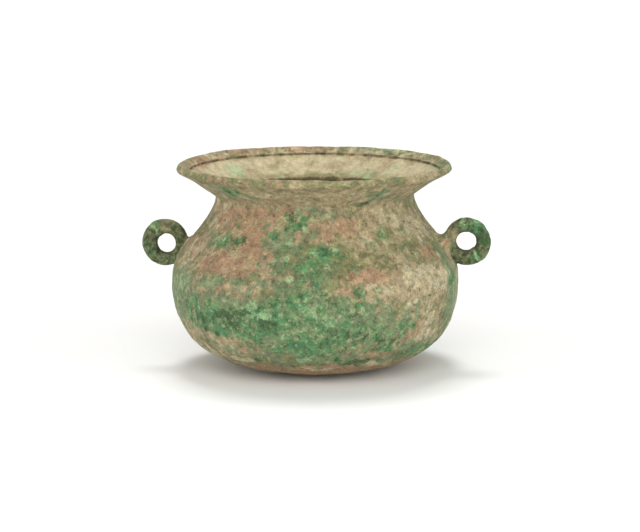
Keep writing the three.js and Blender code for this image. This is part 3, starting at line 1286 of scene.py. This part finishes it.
@dataclass
class Casting:
    """The pot and its ears as one piece."""

    outline: PotOutline
    ears: tuple[RingEar, RingEar]
    patina: PatinaMap
    relief: Relief
    material: bpy.types.Material
    painted_shade: PaintedShade = PaintedShade()
    pad_fillet: float = 2.5 * MM
    fillet_heights: tuple[float, float] = (-10 * MM, 2 * MM)
    probe: float = 0.05 * MM
    least_slope: float = 0.5
    pull_rounds: int = 4
    ease_rounds: int = 10
    mouth_dip: float = 0.95 * MM
    flare_margin: float = 0.8 * MM
    wall_margin: float = 0.6 * MM
    lip_margin: float = 2 * MM

    def build(self) -> bpy.types.Object:
        """Join the ears to the body, lay out the patina and raise the relief.

        Returns:
            The finished casting.
        """
        pot = PotBody(self.outline).build()
        for ear in self.ears:
            self._join(pot, ear)
        mesh = pot.data
        points = places_of(mesh)
        inside = self._inside(points)
        points = self._filleted(mesh, points, inside)
        on_ear = sum(ear.share(points) for ear in self.ears)
        for tone in Tone:
            weights = self.patina.weights(tone, points, inside) * (1.0 - on_ear)
            for ear in self.ears:
                spots = ear.spotted(points, ear.spots.get(tone, ()))
                weights = np.maximum(weights, spots * ear.share(points))
            store(mesh, tone.value, weights)
        for ear in self.ears:
            on_ear = on_ear * (1.0 - ear.spotted(points, ear.worn) * ear.share(points))
        within_band = np.hypot(points[:, 0], points[:, 1]) < self.outline.band_radius
        store(mesh, CALM, inside * within_band)
        store(mesh, EAR, on_ear)
        # The painted shade is kept as a weight on the mesh.
        store(mesh, PAINTED_SHADE, self._painted_shade(points, inside))
        points[:, 2] -= self._dip(points)
        mesh.vertices.foreach_set("co", points.astype(np.float32).ravel())
        self.relief.raise_on(pot, self.material)
        pot.name = "mou_casting"
        pot.data.name = "mou_casting"
        return pot

    def _join(self, pot: bpy.types.Object, ear: RingEar) -> None:
        """Fuse one ear with the body.

        Args:
            pot: The pot as joined so far.
            ear: The ear to cast on.
        """
        ring = ear.build()
        modifier = pot.modifiers.new("cast_on", "BOOLEAN")
        modifier.operation = "UNION"
        modifier.solver = "MANIFOLD"
        modifier.object = ring
        finished(pot)
        bpy.data.objects.remove(ring)

    def _clearance(self, points: Points) -> np.ndarray:
        """Measure about how far each place is from the pot's outside, less than 0 within it.

        Args:
            points: The places to measure from.

        Returns:
            The distance from each place.
        """
        outline = self.outline.outside()
        radius = np.hypot(points[:, 0], points[:, 1])
        slope = np.gradient(outline[:, 0], outline[:, 1])
        lean = np.interp(points[:, 2], outline[:, 1], slope)
        return (radius - np.interp(points[:, 2], outline[:, 1], outline[:, 0])) / np.hypot(1, lean)

    def _joined(self, points: Points) -> np.ndarray:
        """Measure the clearance from the pot and its ears as one softly joined form.

        Args:
            points: The places to measure from.

        Returns:
            The distance from each place.
        """
        total = self._clearance(points)
        for ear in self.ears:
            pad = ear.pad_clearance(points, self.outline)
            total = self._softly(total, pad, self.pad_fillet)
            above = smooth_step(points[:, 2] - ear.height, *self.fillet_heights)
            fillet = self.pad_fillet + (ear.fillet - self.pad_fillet) * above
            total = self._softly(total, ear.clearance(points), fillet)
        return total

    @staticmethod
    def _softly(one: np.ndarray, other: np.ndarray, fillet: np.ndarray | float) -> np.ndarray:
        """Take the smaller of two clearances, eased over where they come within one fillet."""
        near = np.clip(0.5 + 0.5 * (one - other) / fillet, 0.0, 1.0)
        return one + (other - one) * near - fillet * near * (1.0 - near)

    def _filleted(self, mesh: bpy.types.Mesh, points: Points, inside: np.ndarray) -> Points:
        """Fill the sharp corner between each ear and the shoulder with a fillet.

        Args:
            mesh: The joined mesh, which tells which vertices are neighbours.
            points: The places of its vertices.
            inside: 1 where a place is on the inside of the pot.

        Returns:
            The places moved out onto the softly joined form, and spread out evenly there.
        """
        from_pot = np.abs(self._clearance(points))
        near = np.zeros(len(points), bool)
        for ear in self.ears:
            near |= (ear.clearance(points) < ear.fillet) & (from_pot < ear.fillet)
            near |= ear.pad_clearance(points, self.outline) < self.pad_fillet
        near &= inside < 0.5
        ends = np.zeros(len(mesh.edges) * 2, np.int32)
        mesh.edges.foreach_get("vertices", ends)
        ends = ends.reshape(-1, 2)
        ends = ends[near[ends].any(axis=1)]
        points = points.copy()
        points[near] = self._pulled(points[near])
        for _ in range(self.ease_rounds):
            points[near] = evened(points, ends)[near]
            points[near] = self._pulled(points[near])
        return points

    def _pulled(self, points: Points) -> Points:
        """Pull places onto the softly joined form, straight down its slope.

        Args:
            points: The places to pull.

        Returns:
            The places on the form.
        """
        probe = self.probe
        for _ in range(self.pull_rounds):
            value = self._joined(points)
            slope = [(self._joined(points + row) - value) / probe for row in np.eye(3) * probe]
            steep = np.stack(slope, -1)
            length = np.maximum((steep**2).sum(-1), self.least_slope**2)
            points = points - steep * (value / length)[:, None]
        return points

    def _dip(self, points: Points) -> np.ndarray:
        """Tell how far the mouth has sunk at each place, most of all towards the right ear.

        Args:
            points: Places on the pot.

        Returns:
            The drop at each place, in metres.
        """
        outline = self.outline
        in_mouth = smooth_step(points[:, 2], outline.neck[1], outline.height)
        to_right = 0.5 + 0.5 * points[:, 0] / outline.mouth_radius
        return self.mouth_dip * in_mouth * to_right

    def _painted_shade(self, points: Points, inside: np.ndarray) -> np.ndarray:
        """Weigh the painted shade in the groove under the band, inside the pot and at the ears.

        Args:
            points: Places on the pot.
            inside: 1 where a place is on the inside of the pot.

        Returns:
            One weight for each place.
        """
        outline, painted_shade = self.outline, self.painted_shade
        radius, height = np.hypot(points[:, 0], points[:, 1]), points[:, 2]
        _, flare = outline.lip(outline.outside()[-1], outline.inside()[-1])
        # Painted shade along the groove between the band and the flare.
        groove = flare[1]
        away = np.hypot(radius - groove[0], height - groove[1])
        total = painted_shade.groove * (1.0 - smooth_step(away, *painted_shade.groove_fade))
        # Painted shade down the throat, darkest just under the flare, and lighter painted shade
        # over the rest of the inside.
        above = height - outline.neck[1] - outline.neck_fillet
        deep = inside * (1.0 - smooth_step(above, *painted_shade.throat_fade))
        throat = painted_shade.belly + painted_shade.throat * smooth_step(above, *painted_shade.throat_depths)
        total = np.maximum(total, throat * deep)
        from_pot = np.abs(self._clearance(points))
        for ear in self.ears:
            # Painted shade round the wall of each hole.
            in_hole = ear.hole_shade(points) * ear.share(points)
            # Painted shade in the corner where the upper part of the ring meets the shoulder.
            corner = smooth_step(height - ear.height, *painted_shade.corner_heights)
            for apart in (ear.clearance(points), from_pot):
                corner = corner * (1.0 - smooth_step(apart, *painted_shade.corner_fade))
            total = np.maximum(total, painted_shade.ear_hole * in_hole)
            total = np.maximum(total, painted_shade.ear_corner * corner)
        return total

    def _inside(self, points: Points) -> np.ndarray:
        """Tell which places are on the inside of the pot.

        Args:
            points: Places on the pot.

        Returns:
            1 for each place on the inside and 0 for the others.
        """
        outline = self.outline
        inner = outline.inside()
        radius, height = np.hypot(points[:, 0], points[:, 1]), points[:, 2]
        wall = np.interp(height, inner[:, 1], inner[:, 0])
        in_flare = height > inner[-1, 1]
        line = inner[-1, 1] + (radius - inner[-1, 0]) * math.tan(outline.flare)
        flare = in_flare & (height > line - self.flare_margin)
        flare &= radius < outline.mouth_radius - self.lip_margin
        body = ~in_flare & (radius < wall + self.wall_margin)
        return (flare | body).astype(float)


@dataclass(frozen=True)
class Lamp:
    """A wide, even softbox far away: how strong, how wide, and how tilted from straight above."""

    name: str
    power: float
    spread: float
    tilt: tuple[float, float, float]


@dataclass(frozen=True)
class Studio:
    """Camera, lights and floor, set up as in the photograph.

    Places in the picture are pixels of its 640 by 532 frame.
    """

    frame_size: tuple[int, int] = (640, 532)
    axis_pixel: tuple[float, float] = (315.4, 263.05)
    aim_height: float = 80 * MM
    distance: float = 2.2
    pixel_size: float = 0.77 * MM
    azimuth: float = math.radians(7)
    elevation: float = math.radians(9.56)
    roll: float = math.radians(0.45)
    sensor: float = 36.0
    far_clip: float = 100.0
    floor_half: float = 14.0
    floor_shade: tuple[float, float, float, float] = (0.9, 0.9, 0.895, 1.0)
    floor_roughness: float = 0.9
    floor_specular: float = 0.1
    room_light: float = 0.475
    room_tint: tuple[float, float, float] = (1.0, 0.985, 0.955)
    lamps: tuple[Lamp, ...] = (
        Lamp("top", 1.32, math.radians(20), (math.radians(-15), math.radians(-3), 0.0)),
        Lamp("front", 1.1, math.radians(40), (math.radians(58), 0.0, math.radians(7))),
        Lamp("left", 1.4, math.radians(60), (math.radians(84), 0.0, math.radians(-52))),
        Lamp("right", 1.8, math.radians(60), (math.radians(84), 0.0, math.radians(60))),
    )

    def camera(self) -> None:
        """Place the camera at the photograph's viewing angle."""
        level = math.cos(self.elevation)
        back = Vector(
            (
                math.sin(self.azimuth) * level,
                -math.cos(self.azimuth) * level,
                math.sin(self.elevation),
            )
        )
        turn = (-back).to_track_quat("-Z", "Y").to_matrix()
        middle_x, middle_y = (side / 2 for side in self.frame_size)
        aside = (middle_x - self.axis_pixel[0]) * self.pixel_size
        above = (self.axis_pixel[1] - middle_y) * self.pixel_size
        aim = Vector((0, 0, self.aim_height)) + turn @ Vector((aside, above, 0))
        data = bpy.data.cameras.new("camera")
        data.sensor_width = self.sensor
        data.lens = self.sensor * self.distance / (self.pixel_size * self.frame_size[0])
        data.clip_end = self.far_clip
        camera = bpy.data.objects.new("camera", data)
        rotation = turn @ Matrix.Rotation(-self.roll, 3, "Z")
        camera.matrix_world = Matrix.LocRotScale(aim + back * self.distance, rotation, None)
        bpy.context.scene.collection.objects.link(camera)
        bpy.context.scene.camera = camera

    def lights(self) -> None:
        """Light the pot softly from above and all round."""
        for lamp in self.lamps:
            data = bpy.data.lights.new(lamp.name, "SUN")
            data.energy = lamp.power
            data.angle = lamp.spread
            light = bpy.data.objects.new(lamp.name, data)
            light.rotation_euler = Euler(lamp.tilt)
            bpy.context.scene.collection.objects.link(light)
        world = bpy.data.worlds.new("studio")
        world.use_nodes = True
        background = world.node_tree.nodes["Background"]
        background.inputs["Color"].default_value = (*self.room_tint, 1.0)
        background.inputs["Strength"].default_value = self.room_light
        bpy.context.scene.world = world

    def floor(self) -> None:
        """Lay a plain pale floor."""
        half = self.floor_half
        mesh = bpy.data.meshes.new("floor")
        corners = [(-half, -half, 0), (half, -half, 0), (half, half, 0), (-half, half, 0)]
        mesh.from_pydata(corners, [], [(0, 1, 2, 3)])
        material = bpy.data.materials.new("pale_floor")
        material.use_nodes = True
        surface = material.node_tree.nodes["Principled BSDF"]
        surface.inputs["Base Color"].default_value = self.floor_shade
        surface.inputs["Roughness"].default_value = self.floor_roughness
        surface.inputs["Specular IOR Level"].default_value = self.floor_specular
        mesh.materials.append(material)
        placed("floor", mesh)


def ring_ears(reach: float) -> tuple[RingEar, RingEar]:
    """Describe the left and the right ear, each as worn and as green as it is in the photograph.

    Args:
        reach: How far out from the pot's axis the middle of each ring lies.

    Returns:
        The two ears, not built yet.
    """
    left = RingEar(
        side=-1,
        height=95 * MM,
        reach=reach,
        hole=(7.0 * MM, 6.9 * MM),
        hole_shift=(-1.2 * MM, -0.5 * MM),
        spots={
            Tone.VERDIGRIS: (EarSpot(58, 20, 0.95), EarSpot(-50, 30, 0.5), EarSpot(5, 24, 0.5)),
            Tone.DEEP: (EarSpot(-20, 30, 0.6),),
            Tone.MINT: (EarSpot(56, 8, 0.6),),
        },
        worn=(EarSpot(97, 16, 0.5),),
        root=100 * MM,
        pad_rise=-4 * MM,
        fillet=3 * MM,
    )
    right = RingEar(
        side=1,
        height=98 * MM,
        reach=reach,
        hole=(7.6 * MM, 6.9 * MM),
        hole_shift=(-0.65 * MM, 0.85 * MM),
        spots={
            Tone.VERDIGRIS: (
                EarSpot(98, 26, 1.0),
                EarSpot(62, 30, 1.0),
                EarSpot(14, 34, 0.9),
                EarSpot(-55, 26, 0.9),
            ),
            Tone.DEEP: (EarSpot(12, 26, 1.0), EarSpot(-25, 20, 0.7)),
            Tone.MINT: (EarSpot(102, 10, 0.6), EarSpot(76, 8, 0.5), EarSpot(-52, 10, 0.6)),
        },
        worn=(EarSpot(155, 24, 0.75),),
        root=104 * MM,
        pad_rise=-1.5 * MM,
        fillet=8 * MM,
    )
    return left, right


def main() -> None:
    """Build the pot, dress it and set it in the studio."""
    logging.basicConfig(level=logging.INFO, format="%(name)s: %(message)s")
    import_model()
    bpy.context.scene.view_settings.view_transform = "Standard"
    _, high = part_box(POT_NODE)
    outline = PotOutline(belly_radius=high.y, height=high.z)
    ears = ring_ears(high.x - RingEar.outer[0])
    material = PatinaFinish().material()
    casting = Casting(outline, ears, PatinaMap(), Relief(), material).build()
    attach(casting, POT_BODY)
    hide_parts(POT_NODE)
    LOG.info("%s: %d vertices", casting.name, len(casting.data.vertices))

    studio = Studio()
    studio.floor()
    studio.lights()
    studio.camera()


if __name__ == "__main__":
    main()
